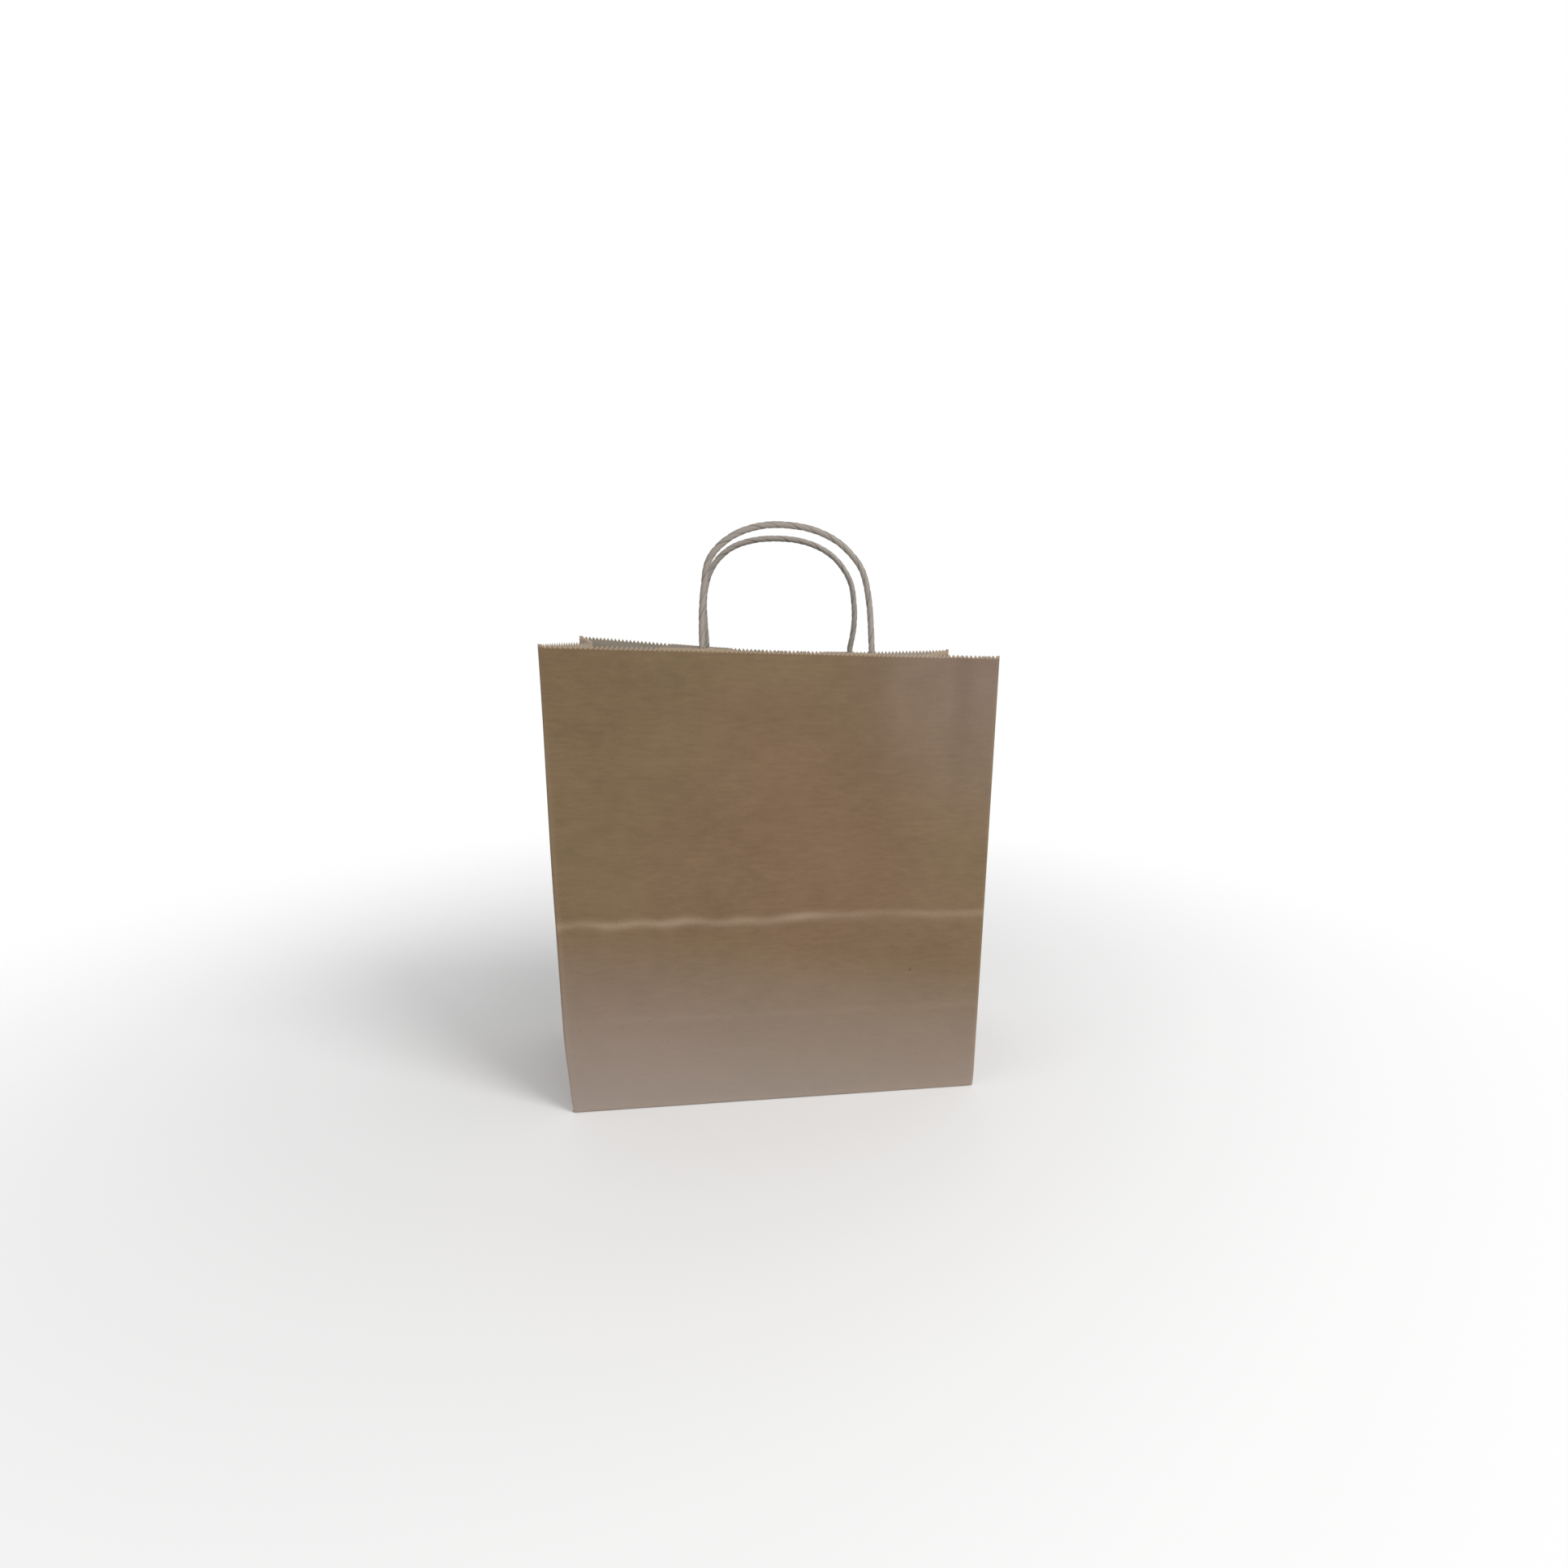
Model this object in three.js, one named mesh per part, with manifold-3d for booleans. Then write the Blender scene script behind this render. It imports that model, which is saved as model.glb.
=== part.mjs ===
// A kraft paper carrier bag with a folded block bottom, side gussets and two
// twisted paper handles. Millimetres, +Z up. The origin is the middle of the
// underside, the front panel faces -Y, and the mouth stands partly open.
import * as THREE from 'three';
import Module from 'manifold-3d';
import { mergeVertices } from 'three/addons/utils/BufferGeometryUtils.js';

// The bag
const WIDTH = 280;
const DEPTH = 130;
const HEIGHT = 308;
const PAPER = 0.2;
const GLUE_GAP = 0.3;
const FRONT_FOLD_GAP = 0.6;
const REAR_FOLD_GAP = 2;
const CREASE_GAP = 2;

// The open mouth: where the back panel's two top corners stand, how far its
// middle bows in towards the front, and how far each gusset foot leans in
const BACK_CORNER_LEFT = { x: -134.5, y: 59 };
const BACK_CORNER_RIGHT = { x: 131, y: 36 };
const BACK_BOW = 32;
const FOOT_LEAN = 6;

// The handles
const CORD_RADIUS = 1.9;
const FRONT_HANDLE_CENTRE = 5;
const BACK_HANDLE_CENTRE = 6.5;
const STRIP_CENTRE = 5;
const HANDLE_SPACING = 103;
const TAIL_LENGTH = 40;
const CORD_SIDES = 10;
const CORD_STEPS = 44;
const WALL_STEP = 10;

// Each loop's route: across from its middle, and up from the mouth's edge
const FRONT_LOOP = [
  [-51.5, 3], [-51.2, 20], [-49.6, 36], [-47, 49.5], [-39, 60], [-26, 68], [-9, 72],
  [11, 71], [27, 65.5], [38.5, 56.5], [45.5, 46], [49.5, 28], [51.5, 3],
];
const BACK_LOOP = [
  [-51.5, 3], [-52.5, 29], [-49.6, 45], [-43, 57], [-32, 66], [-18, 71], [-2, 73],
  [15, 72.3], [30, 68], [42, 60], [51, 47], [54, 31], [54, 17], [51.5, 3],
];

// The strips that the handles are glued between
const STRIP_WIDTH = 170;
const STRIP_HEIGHT = 45;
const STRIP_TOP_DROP = 0.3;

// The inner strip's ridge over a cord: distance from the cord, and height
const RIDGE_SHAPE = [[0, 4.15], [1.2, 3.75], [1.85, 2.95], [2.2, 2], [6, 0]];

// The block bottom
const FLAP_OVERLAP = 26;
const FLAP_TAPER = 40;
const TUCK_REACH = 65;
const LAP_FROM = 100;
const LAP_WIDTH = 20;
const WALL_START = 1.6;
const FOOT_GAP = 1.9;

const HALF_WIDTH = WIDTH / 2;
const HALF_DEPTH = DEPTH / 2;

const KRAFT = { color: 0x8a755f, roughness: 0.78, metalness: 0 };
const PATCH_KRAFT = { color: 0x9c8870, roughness: 0.8, metalness: 0 };
const CORD_KRAFT = { color: 0xaa9f88, roughness: 0.85, metalness: 0 };

const wasm = await Module();
wasm.setup();

const bag = new THREE.Group();

function add(name, geometry, finish) {
  const mesh = new THREE.Mesh(geometry, new THREE.MeshStandardMaterial(finish));
  mesh.name = name;
  bag.add(mesh);
}

function vec(x, y, z) {
  return new THREE.Vector3(x, y, z);
}

function range(from, to, steps) {
  return Array.from({ length: steps + 1 }, (_, i) => from + ((to - from) * i) / steps);
}

// Both ends, and each whole wall step between them, so that layers bend alike
function wallSteps(from, to, extra = []) {
  const whole = range(-HALF_WIDTH, HALF_WIDTH, WIDTH / WALL_STEP);
  const inside = [...whole, ...extra].filter((s) => s > from && s < to);
  return [...new Set([from, ...inside, to])].sort((a, b) => a - b);
}

// Turns every face of a closed shape outwards
function closedGeometry(points, faces) {
  const volume = faces.reduce((sum, [a, b, c]) => {
    const cross = points[b].clone().cross(points[c]);
    return sum + points[a].dot(cross);
  }, 0);
  const outward = volume > 0 ? faces : faces.map(([a, b, c]) => [a, c, b]);
  const geometry = new THREE.BufferGeometry().setFromPoints(points);
  geometry.setIndex(outward.flat());
  geometry.computeVertexNormals();
  return geometry;
}

// A thin solid between two depths under a surface(u, v, depth)
function slab(surface, us, vs, near, far) {
  const rows = us.length;
  const cols = vs.length;
  const points = [];
  for (const depth of [near, far]) {
    for (const u of us) {
      for (const v of vs) points.push(surface(u, v, depth(u, v)));
    }
  }
  const at = (side, i, j) => side * rows * cols + i * cols + j;
  const faces = [];
  const quad = (a, b, c, d) => faces.push([a, b, c], [a, c, d]);
  for (let i = 0; i + 1 < rows; i += 1) {
    for (let j = 0; j + 1 < cols; j += 1) {
      quad(at(0, i, j), at(0, i + 1, j), at(0, i + 1, j + 1), at(0, i, j + 1));
      quad(at(1, i, j), at(1, i, j + 1), at(1, i + 1, j + 1), at(1, i + 1, j));
    }
    quad(at(0, i, 0), at(1, i, 0), at(1, i + 1, 0), at(0, i + 1, 0));
    quad(at(0, i, cols - 1), at(0, i + 1, cols - 1), at(1, i + 1, cols - 1), at(1, i, cols - 1));
  }
  for (let j = 0; j + 1 < cols; j += 1) {
    quad(at(0, 0, j), at(0, 0, j + 1), at(1, 0, j + 1), at(1, 0, j));
    quad(at(0, rows - 1, j), at(1, rows - 1, j), at(1, rows - 1, j + 1), at(0, rows - 1, j + 1));
  }
  return closedGeometry(points, faces);
}

// A flat sheet with the outline's corners, thickened along one direction
function plate(outline, thickness) {
  const count = outline.length;
  const points = [...outline, ...outline.map((point) => point.clone().add(thickness))];
  const faces = [];
  for (let i = 1; i + 1 < count; i += 1) {
    faces.push([0, i, i + 1], [count, count + i + 1, count + i]);
  }
  for (let i = 0; i < count; i += 1) {
    const next = (i + 1) % count;
    faces.push([i, count + i, count + next], [i, count + next, next]);
  }
  return closedGeometry(points, faces);
}

// Points on the two walls: s across, h up the paper, depth towards the inside
function frontWall(s, h, depth) {
  return vec(s, -HALF_DEPTH + depth, h);
}

function backEdge(s) {
  const across = s / HALF_WIDTH;
  const share = (across + 1) / 2;
  const x = THREE.MathUtils.lerp(BACK_CORNER_LEFT.x, BACK_CORNER_RIGHT.x, share);
  const corner = THREE.MathUtils.lerp(BACK_CORNER_LEFT.y, BACK_CORNER_RIGHT.y, share);
  const y = corner - BACK_BOW * (1 - across * across);
  const z = Math.sqrt(HEIGHT ** 2 - (HALF_DEPTH - y) ** 2 - (s - x) ** 2);
  return vec(x, y, z);
}

function backWall(s, h, depth) {
  const place = (a, b) => vec(a, HALF_DEPTH, 0).lerp(backEdge(a), b / HEIGHT);
  const point = place(s, h);
  const across = place(s + 1, h).sub(place(s - 1, h));
  const up = backEdge(s).sub(vec(s, HALF_DEPTH, 0));
  const inward = across.cross(up).normalize();
  return point.addScaledVector(inward, depth);
}

// A twisted surface through four corners: a across, b up, depth to the inside
function fourCorner(wallFoot, wallTop, creaseFoot, creaseTop, inwardSign) {
  return (a, b, depth) => {
    const left = wallFoot.clone().lerp(wallTop, b);
    const right = creaseFoot.clone().lerp(creaseTop, b);
    const low = wallFoot.clone().lerp(creaseFoot, a);
    const high = wallTop.clone().lerp(creaseTop, a);
    const normal = right.clone().sub(left).cross(high.sub(low)).normalize();
    if (normal.x * inwardSign < 0) normal.negate();
    return left.lerp(right, a).addScaledVector(normal, depth);
  };
}

// The gusset's middle crease meets the mouth half a depth from both corners
function creaseTop(side, foot) {
  const corner = backEdge(side * HALF_WIDTH);
  const front = vec(side * HALF_WIDTH, -HALF_DEPTH, corner.z);
  const span = corner.clone().sub(front);
  const middle = front.clone().addScaledVector(span, 0.5);
  const inset = Math.sqrt(HALF_DEPTH ** 2 - (span.length() / 2) ** 2);
  const inward = vec(-side * Math.abs(span.y), side * span.x, 0).normalize();
  const top = middle.addScaledVector(inward, inset);
  const along = HEIGHT - HALF_DEPTH;
  const shift = Math.hypot(top.x - foot.x, top.y - foot.y);
  return vec(top.x, top.y, foot.z + Math.sqrt(along ** 2 - shift ** 2));
}

function addGusset(side, word) {
  const edge = side * (HALF_WIDTH - PAPER / 2);
  const lift = Math.sqrt(HALF_DEPTH ** 2 - FOOT_LEAN ** 2);
  const foot = vec(side * (HALF_WIDTH - FOOT_LEAN), 0, lift);
  const top = creaseTop(side, foot);
  const stop = 1 - CREASE_GAP / HALF_DEPTH;
  const rise = FOOT_GAP / (HEIGHT - HALF_DEPTH);
  const up = range(rise, 1, 8);
  const walls = {
    front: {
      wallFoot: vec(edge, -HALF_DEPTH + PAPER / 2, 0),
      wallTop: vec(edge, -HALF_DEPTH + PAPER / 2, HEIGHT),
      start: FRONT_FOLD_GAP / HALF_DEPTH,
    },
    rear: {
      wallFoot: vec(edge, HALF_DEPTH, 0),
      wallTop: backEdge(side * HALF_WIDTH),
      start: REAR_FOLD_GAP / HALF_DEPTH,
    },
  };
  for (const [end, { wallFoot, wallTop, start }] of Object.entries(walls)) {
    const across = [start, (start + stop) / 2, stop];
    const surface = fourCorner(wallFoot, wallTop, foot, top, -side);
    const half = slab(surface, across, up, () => -PAPER / 2, () => PAPER / 2);
    add(`${word}_gusset_${end}`, half, KRAFT);
  }
  const reach = HALF_DEPTH - 1.2; // clear of both walls
  const triangle = [
    vec(edge, -reach, WALL_START),
    vec(edge, reach, WALL_START),
    vec(foot.x, 0, foot.z),
  ];
  add(`${word}_gusset_foot`, plate(triangle, vec(-side * PAPER, 0, 0)), KRAFT);
}

// Two flaps lap along the middle of the bottom, over a tuck at each end
function addBottom() {
  const half = FLAP_OVERLAP / 2;
  const layers = { rear: 0, front: PAPER + GLUE_GAP };
  for (const [end, low] of Object.entries(layers)) {
    const sign = end === 'rear' ? 1 : -1;
    const flap = [
      vec(-HALF_WIDTH, sign * HALF_DEPTH, low),
      vec(HALF_WIDTH, sign * HALF_DEPTH, low),
      vec(HALF_WIDTH, sign * FLAP_TAPER, low),
      vec(HALF_WIDTH - TUCK_REACH / 2, -sign * half, low),
      vec(-HALF_WIDTH + TUCK_REACH / 2, -sign * half, low),
      vec(-HALF_WIDTH, sign * FLAP_TAPER, low),
    ];
    add(`base_${end}_flap`, plate(flap, vec(0, 0, PAPER)), KRAFT);
  }
  const tuckLow = 2 * (PAPER + GLUE_GAP);
  for (const [word, side] of [['left', -1], ['right', 1]]) {
    const tuck = [
      vec(side * HALF_WIDTH, -HALF_DEPTH, tuckLow),
      vec(side * HALF_WIDTH, HALF_DEPTH, tuckLow),
      vec(side * (HALF_WIDTH - TUCK_REACH), FLAP_OVERLAP / 2, tuckLow),
      vec(side * (HALF_WIDTH - TUCK_REACH), -FLAP_OVERLAP / 2, tuckLow),
    ];
    add(`base_${word}_tuck`, plate(tuck, vec(0, 0, PAPER)), KRAFT);
  }
}

function cordTube(points, steps) {
  const section = new THREE.Shape(
    range(0, 2 * Math.PI, CORD_SIDES).slice(0, -1)
      .map((turn) => new THREE.Vector2(Math.cos(turn), Math.sin(turn)).multiplyScalar(CORD_RADIUS)),
  );
  const extrudePath = new THREE.CatmullRomCurve3(points, false, 'centripetal');
  return new THREE.ExtrudeGeometry(section, { steps, extrudePath, bevelEnabled: false });
}

function toSolid(geometry) {
  const bare = geometry.clone();
  bare.deleteAttribute('normal');
  bare.deleteAttribute('uv');
  const merged = mergeVertices(bare, 1e-4);
  return new wasm.Manifold(new wasm.Mesh({
    numProp: 3,
    vertProperties: merged.attributes.position.array,
    triVerts: new Uint32Array(merged.index.array),
  }));
}

// A loop with a round end at each foot, so that it can turn over the mouth
function loopGeometry(points) {
  let solid = toSolid(cordTube(points, CORD_STEPS));
  for (const foot of [points[0], points[points.length - 1]]) {
    const ball = new THREE.SphereGeometry(CORD_RADIUS, CORD_SIDES, 8);
    ball.translate(foot.x, foot.y, foot.z);
    solid = solid.add(toSolid(ball));
  }
  const mesh = solid.getMesh();
  const geometry = new THREE.BufferGeometry();
  geometry.setAttribute('position', new THREE.BufferAttribute(mesh.vertProperties, 3));
  geometry.setIndex(new THREE.BufferAttribute(mesh.triVerts, 1));
  geometry.computeVertexNormals();
  return geometry;
}

// How far the inner strip stands off the outer one, where it covers a tail
function ridge(offset) {
  const distance = Math.min(Math.abs(offset), RIDGE_SHAPE.at(-1)[0]);
  const next = Math.max(1, RIDGE_SHAPE.findIndex(([x]) => x >= distance));
  const [x0, h0] = RIDGE_SHAPE[next - 1];
  const [x1, h1] = RIDGE_SHAPE[next];
  return THREE.MathUtils.mapLinear(distance, x0, x1, h0, h1);
}

function addHandle(word, wall, centre, loop) {
  const feet = [-1, 1].map((side) => centre + (side * HANDLE_SPACING) / 2);
  const stripTop = HEIGHT - STRIP_TOP_DROP;
  const strip = [stripTop - STRIP_HEIGHT, stripTop];
  const left = STRIP_CENTRE - STRIP_WIDTH / 2;
  const right = STRIP_CENTRE + STRIP_WIDTH / 2;
  const outerLow = PAPER + GLUE_GAP;
  const innerLow = outerLow + PAPER + GLUE_GAP;
  const cordDepth = innerLow + CORD_RADIUS;

  add(`${word}_outer_strip`,
    slab(wall, wallSteps(left, right), strip, () => outerLow, () => outerLow + PAPER), PATCH_KRAFT);

  const ridges = feet.flatMap((foot) => RIDGE_SHAPE
    .flatMap(([offset]) => [foot - offset, foot + offset]));
  const innerAcross = wallSteps(left, right, ridges);
  const stand = (s) => innerLow + Math.max(ridge(s - feet[0]), ridge(s - feet[1]));
  add(`${word}_inner_strip`,
    slab(wall, innerAcross, strip, (s) => stand(s), (s) => stand(s) + PAPER), PATCH_KRAFT);

  const names = ['left', 'right'];
  feet.forEach((foot, i) => {
    const tail = range(HEIGHT - TAIL_LENGTH, HEIGHT + 0.3, 4).map((h) => wall(foot, h, cordDepth));
    add(`${word}_handle_tail_${names[i]}`, cordTube(tail, 6), CORD_KRAFT);
  });

  const start = wall(feet[0], HEIGHT, cordDepth);
  const end = wall(feet[1], HEIGHT, cordDepth);
  const points = loop.map(([across, rise]) => {
    const point = start.clone().lerp(end, across / HANDLE_SPACING + 0.5);
    return point.add(vec(0, 0, rise));
  });
  add(`${word}_handle_loop`, loopGeometry(points), CORD_KRAFT);
}

function addWalls() {
  const rise = [WALL_START, HEIGHT];
  const thin = [() => 0, () => PAPER];
  add('front_panel', slab(frontWall, [-HALF_WIDTH, HALF_WIDTH], rise, ...thin), KRAFT);
  add('back_panel',
    slab(backWall, wallSteps(-HALF_WIDTH, HALF_WIDTH), range(...rise, 4), ...thin), KRAFT);
  const lap = wallSteps(LAP_FROM, LAP_FROM + LAP_WIDTH);
  const inside = [() => PAPER + GLUE_GAP, () => 2 * PAPER + GLUE_GAP];
  add('back_seam_lap', slab(backWall, lap, range(...rise, 4), ...inside), KRAFT);
}

addBottom();
addWalls();
addGusset(-1, 'left');
addGusset(1, 'right');
addHandle('front', frontWall, FRONT_HANDLE_CENTRE, FRONT_LOOP);
addHandle('back', backWall, BACK_HANDLE_CENTRE, BACK_LOOP);

export default bag;
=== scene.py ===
# %% [markdown]
# # A plain kraft paper gift bag
# The bag is one sheet of brown kraft paper, folded into a block bottom and
# glued along one seam, with a twisted paper cord looped on each wall. This
# lesson skins the bag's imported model, which is the fixed frame: it already
# holds every panel, joint and size, so each piece here starts from it.

# %% Load the frame
import math

import bpy
import numpy as np
from mathutils import Matrix, Vector


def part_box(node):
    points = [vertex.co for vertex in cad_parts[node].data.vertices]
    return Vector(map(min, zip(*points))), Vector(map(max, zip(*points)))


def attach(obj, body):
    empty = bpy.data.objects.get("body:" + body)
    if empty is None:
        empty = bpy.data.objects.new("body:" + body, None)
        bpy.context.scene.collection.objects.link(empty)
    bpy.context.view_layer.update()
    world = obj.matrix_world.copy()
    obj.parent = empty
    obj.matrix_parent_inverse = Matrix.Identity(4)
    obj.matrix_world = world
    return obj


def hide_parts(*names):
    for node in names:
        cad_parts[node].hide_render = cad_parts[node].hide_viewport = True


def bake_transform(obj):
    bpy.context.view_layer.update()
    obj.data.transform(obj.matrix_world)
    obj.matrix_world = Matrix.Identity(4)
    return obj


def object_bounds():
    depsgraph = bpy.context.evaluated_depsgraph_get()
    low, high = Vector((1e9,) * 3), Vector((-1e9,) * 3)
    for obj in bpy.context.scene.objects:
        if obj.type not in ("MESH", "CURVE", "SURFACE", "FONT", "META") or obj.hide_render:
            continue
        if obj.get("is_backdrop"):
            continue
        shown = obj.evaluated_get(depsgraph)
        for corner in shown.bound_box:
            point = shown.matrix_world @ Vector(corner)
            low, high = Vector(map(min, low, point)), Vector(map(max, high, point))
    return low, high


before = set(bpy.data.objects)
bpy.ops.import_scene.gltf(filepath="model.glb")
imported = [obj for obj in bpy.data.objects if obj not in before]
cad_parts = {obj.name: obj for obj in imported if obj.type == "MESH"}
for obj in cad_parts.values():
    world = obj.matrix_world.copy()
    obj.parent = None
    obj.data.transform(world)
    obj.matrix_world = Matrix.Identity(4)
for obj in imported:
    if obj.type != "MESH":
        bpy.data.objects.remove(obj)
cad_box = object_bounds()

# %% [markdown]
# ## Sizes
# Everything is worked out in millimetres and turned into metres at the end.
# The width, depth and height are read from the frame. The mouth's open shape
# repeats the frame's own values: where the back wall's top corners stand, and
# how far its middle bows in.

# %% Sizes
MM = 0.001
PAPER = 0.22
FOLD_RADIUS = 1.5
TOOTH_PITCH = 2.8
TOOTH_DEPTH = 2.0
INSIDE_SHIFT = 500.0

front_low, front_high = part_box("front_panel")
WIDTH = (front_high[0] - front_low[0]) / MM
HEIGHT = front_high[2] / MM
DEPTH = -2 * front_low[1] / MM
HALF_WIDTH, HALF_DEPTH = WIDTH / 2, DEPTH / 2
BACK_LEFT = (-134.5, 59.0)
BACK_RIGHT = (131.0, 36.0)
BACK_BOW = 32.0
FOOT_LEAN = 6.0
PRESS_LINE = DEPTH + 3.5
FOLD_LINE = HALF_DEPTH + 1.0
print(f"bag {WIDTH:.0f} x {DEPTH:.0f} x {HEIGHT:.0f} mm")

# %% [markdown]
# ## Camera
# The camera comes first, so that every later piece can be judged in its view.
# It stands a little left of the middle, just above the mouth, and looks down
# and to the right. Its three directions are built as vectors, because a small
# roll is easier to see there than in angles.

# %% Camera
CAMERA_PLACE = Vector((-0.0347, -0.6306, 0.3381))
CAMERA_YAW, CAMERA_PITCH, CAMERA_ROLL = map(math.radians, (11.46, 15.88, 2.08))

view_ahead = Vector((
    math.sin(CAMERA_YAW) * math.cos(CAMERA_PITCH),
    math.cos(CAMERA_YAW) * math.cos(CAMERA_PITCH),
    -math.sin(CAMERA_PITCH),
))
level_right = Vector((math.cos(CAMERA_YAW), -math.sin(CAMERA_YAW), 0))
level_up = level_right.cross(view_ahead)
view_right = math.cos(CAMERA_ROLL) * level_right + math.sin(CAMERA_ROLL) * level_up
view_up = view_right.cross(view_ahead)

camera_data = bpy.data.cameras.new("view")
camera_data.sensor_width = 36
camera_data.lens = 20.63
camera_data.shift_x = -0.0748
camera_data.shift_y = 0.0479
camera = bpy.data.objects.new("view", camera_data)
bpy.context.collection.objects.link(camera)
turn = Matrix((view_right, view_up, -view_ahead)).transposed()
camera.matrix_world = Matrix.Translation(CAMERA_PLACE) @ turn.to_4x4()
bpy.context.scene.camera = camera
print("camera at", tuple(round(v, 3) for v in CAMERA_PLACE))

# %% [markdown]
# ## Paper as a grid
# A sheet of paper is a grid of points on its outer face, a second grid one paper thickness behind it, and
# a rim that joins the two. A Solidify modifier could add the thickness, but building both faces here keeps
# the pinked teeth sharp and gives a closed mesh. Two values ride on the points. One mask is 1 where the
# surface is rubbed pale, on folds and creases; along the mouth's cut teeth it is a painted highlight, and
# on the cords it is painted shade in the spiral grooves. The vector flat is where the point lay in the
# flat sheet, so that the paper's grain runs along the roll on every panel and stays put when a panel
# bends.

# %% A sheet of paper from a grid
def grid_normals(points):
    across = np.gradient(points, axis=1)
    up = np.gradient(points, axis=0)
    normals = np.cross(across, up)
    return normals / np.maximum(np.linalg.norm(normals, axis=2, keepdims=True), 1e-9)


def new_object(name, points, faces, wear_and_painted_light, flat):
    mesh = bpy.data.meshes.new(name)
    mesh.from_pydata((np.asarray(points) * MM).tolist(), [], faces)
    mesh.validate()
    mask = mesh.attributes.new("wear_and_painted_light", "FLOAT", "POINT")
    mask.data.foreach_set("value", np.asarray(wear_and_painted_light, np.float32))
    place = mesh.attributes.new("flat", "FLOAT_VECTOR", "POINT")
    place.data.foreach_set("vector", (np.asarray(flat) * MM).astype(np.float32).ravel())
    mesh.polygons.foreach_set("use_smooth", np.ones(len(mesh.polygons), bool))
    piece = bpy.data.objects.new(name, mesh)
    bpy.context.collection.objects.link(piece)
    return piece


pieces_of = {"kraft_sheet": [], "handle_strip": [], "handle_cord": []}


def stands_for(piece, slot_name, *nodes):
    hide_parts(*nodes)
    pieces_of[slot_name].append(piece)


def flat_places(points, anchor):
    """Distance along the roll from column anchor, and height or reach."""
    steps = np.linalg.norm(np.diff(points, axis=1), axis=2)
    along = np.cumsum(np.pad(steps, ((0, 0), (1, 0))), axis=1)
    along = along - along[:, anchor:anchor + 1]
    if np.ptp(points[..., 2]) > 20:
        reach = points[..., 2]
    else:
        rows = np.linalg.norm(np.diff(points, axis=0), axis=2).mean(axis=1)
        reach = np.broadcast_to(np.append(0, rows).cumsum()[:, None], along.shape)
    return np.stack([along, reach, np.zeros_like(along)], axis=-1).reshape(-1, 3)


def paper_sheet(name, points, inward, wear_and_painted_light, anchor=None, thickness=PAPER):
    rows, cols = points.shape[:2]
    normals = grid_normals(points)
    turned_over = np.sum(normals * np.asarray(inward)) < 0
    if turned_over:
        normals = -normals
    both = np.concatenate([points.reshape(-1, 3), (points + normals * thickness).reshape(-1, 3)])
    at = lambda side, i, j: side * rows * cols + i * cols + j
    faces = []
    for i in range(rows - 1):
        for j in range(cols - 1):
            faces.append((at(0, i, j), at(0, i + 1, j), at(0, i + 1, j + 1), at(0, i, j + 1)))
            faces.append((at(1, i, j), at(1, i, j + 1), at(1, i + 1, j + 1), at(1, i + 1, j)))
    for j in range(cols - 1):
        faces.append((at(0, 0, j), at(0, 0, j + 1), at(1, 0, j + 1), at(1, 0, j)))
        last = rows - 1
        faces.append((at(0, last, j), at(1, last, j), at(1, last, j + 1), at(0, last, j + 1)))
    for i in range(rows - 1):
        faces.append((at(0, i, 0), at(1, i, 0), at(1, i + 1, 0), at(0, i + 1, 0)))
        last = cols - 1
        faces.append((at(0, i, last), at(0, i + 1, last), at(1, i + 1, last), at(1, i, last)))
    if turned_over:
        faces = [face[::-1] for face in faces]
    flat = flat_places(points, cols // 2 if anchor is None else anchor)
    behind = flat + np.array([0, 0, INSIDE_SHIFT])
    piece = new_object(name, both, faces, np.tile(wear_and_painted_light.ravel(), 2), np.concatenate([flat, behind]))
    piece.data.set_sharp_from_angle(angle=math.radians(50))
    print(f"{name}: {len(faces)} faces")
    return piece


# %% [markdown]
# ## Waves, creases and teeth
# Paper that was folded flat and opened again is never quite flat. A sum of a
# few slow sine waves bows each wall by about a millimetre, and fades at the
# folds. The pressed line is a low rounded ridge that wanders a little, and the
# mouth is cut in a zig-zag, which is one tooth for every two columns.

# %% Waves, creases and teeth
def slow_waves(s, h, seed, size=0.8):
    draw = np.random.default_rng(seed)
    total = np.zeros(np.broadcast(s, h).shape)
    for length, share in ((230, 1.0), (130, 0.6), (75, 0.35), (38, 0.13)):
        for _ in range(3):
            angle, phase = draw.uniform(0, math.pi), draw.uniform(0, 2 * math.pi)
            travel = s * math.cos(angle) + h * math.sin(angle)
            total = total + share * np.sin(2 * math.pi * travel / length + phase) / 3
    return size * total


def bump(x, centre, spread):
    return np.exp(-(((x - centre) / spread) ** 2))


def smooth(x, low, high):
    t = np.clip((x - low) / (high - low), 0, 1)
    return t * t * (3 - 2 * t)


def press_height(s):
    wiggle = 0.7 * np.sin(s / 5.3) * smooth(-s, -20, 30) + 0.4 * np.sin(s / 11.0 + 1)
    return PRESS_LINE + 2.4 * smooth(s, -8, 24) * smooth(-s, -140, -30) + wiggle


def ridge_profile(distance, width):
    return bump(distance, 0, width) - 0.45 * bump(distance, 2.1 * width, 1.3 * width)


def tooth_drop(count, plain):
    drop = TOOTH_DEPTH * ((np.arange(count) - plain) % 2)
    drop[:plain], drop[count - plain:] = 0, 0
    return drop


def free_of_folds(s, h):
    """0 at the folds and the base, 1 where the sheet is free to wave."""
    return smooth(HALF_WIDTH - np.abs(s), 0, 40) * smooth(h, 0, 40)


def front_dents(s, h):
    """Two soft upright dents where the mouth's right end was squeezed."""
    out = 2.4 * bump(s, 70, 19) * smooth(h, 130, 285)
    inward = 2.0 * bump(s, 109, 11) * smooth(h, 150, 290)
    return inward - out


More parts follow.
